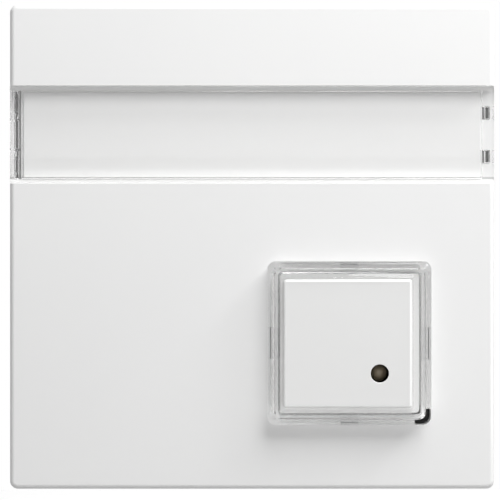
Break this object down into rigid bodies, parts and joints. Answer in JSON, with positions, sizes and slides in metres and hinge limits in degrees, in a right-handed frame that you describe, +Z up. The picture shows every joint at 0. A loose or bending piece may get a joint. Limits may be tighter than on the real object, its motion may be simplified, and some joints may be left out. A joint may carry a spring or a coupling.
{
  "type": "pushbutton switch",
  "caption": "Flush bell push: square white plate with a clear-covered name strip and one small sprung key with a lamp, in a clear collar.",
  "frame": {"origin": "middle of the plate at the wall plane, centre of the 60 mm screw pattern", "axes": "+Z up the wall, +X to the right as seen from the front, -Y out of the wall towards the user, so the mount axis into the wall is +Y"},
  "size_m": [0.08, 0.0219, 0.08],
  "materials": {
    "plate_white": "satin moulded",
    "key_white": "satin moulded",
    "clear_cover": "clear moulded plastic",
    "clear_collar": "clear moulded plastic",
    "card": "plain white card",
    "guide_black": "black moulded",
    "carrier_grey": "grey moulded",
    "ring_steel": "zinc-plated sheet",
    "screw_steel": "bright zinc",
    "spring_steel": "drawn wire",
    "board_green": "solder mask",
    "switch_black": "moulded",
    "brass": "plain",
    "tinned": "tinned wire",
    "lamp_epoxy": "tinted resin",
    "resistor_body": "lacquer",
    "diode_body": "moulded",
    "terminal_grey": "moulded"
  },
  "bodies": {
    "plate": {"front_plate": "plate_white", "label_card": "card", "light_collar": "clear_collar", "key_guide": "guide_black", "guide_screws": "screw_steel", "key_spring_lower": "spring_steel", "key_spring_upper": "spring_steel", "support_ring": "ring_steel", "board_carrier": "carrier_grey", "circuit_board": "board_green", "switch_base": "switch_black", "switch_cover": "tinned", "fixed_contacts": "brass", "plunger_spring": "spring_steel", "status_led": "lamp_epoxy", "led_spacer": "switch_black", "led_leads": "tinned", "lamp_resistor": "resistor_body", "lamp_resistor_leads": "tinned", "lamp_diode": "diode_body", "lamp_diode_leads": "tinned", "terminal_block": "terminal_grey", "terminal_clamps": "brass", "terminal_screws": "screw_steel", "terminal_pins": "tinned"},
    "key": {"key_cap": "key_white"},
    "plunger": {"switch_plunger": "key_white", "contact_bridge": "brass"},
    "strip_cover": {"label_cover": "clear_cover"}
  },
  "joints": [
    {"name": "key_press", "type": "slide", "parent": "plate", "child": "key", "axis": [0, 1, 0], "range_m": [0, 0.0012], "stiffness_N_per_m": 750, "springref_m": -0.0008, "deforming": ["key_spring_lower", "key_spring_upper"]},
    {"name": "plunger_press", "type": "slide", "parent": "plate", "child": "plunger", "axis": [0, 1, 0], "range_m": [0, 0.0012], "stiffness_N_per_m": 150, "springref_m": -0.001, "deforming": ["plunger_spring"]},
    {"name": "cover_lift_off", "type": "slide", "parent": "plate", "child": "strip_cover", "axis": [0, -1, 0], "range_m": [0, 0.012]}
  ],
  "couplings": [
    {"joint": "plunger_press", "follows": "key_press", "ratio": 1}
  ]
}
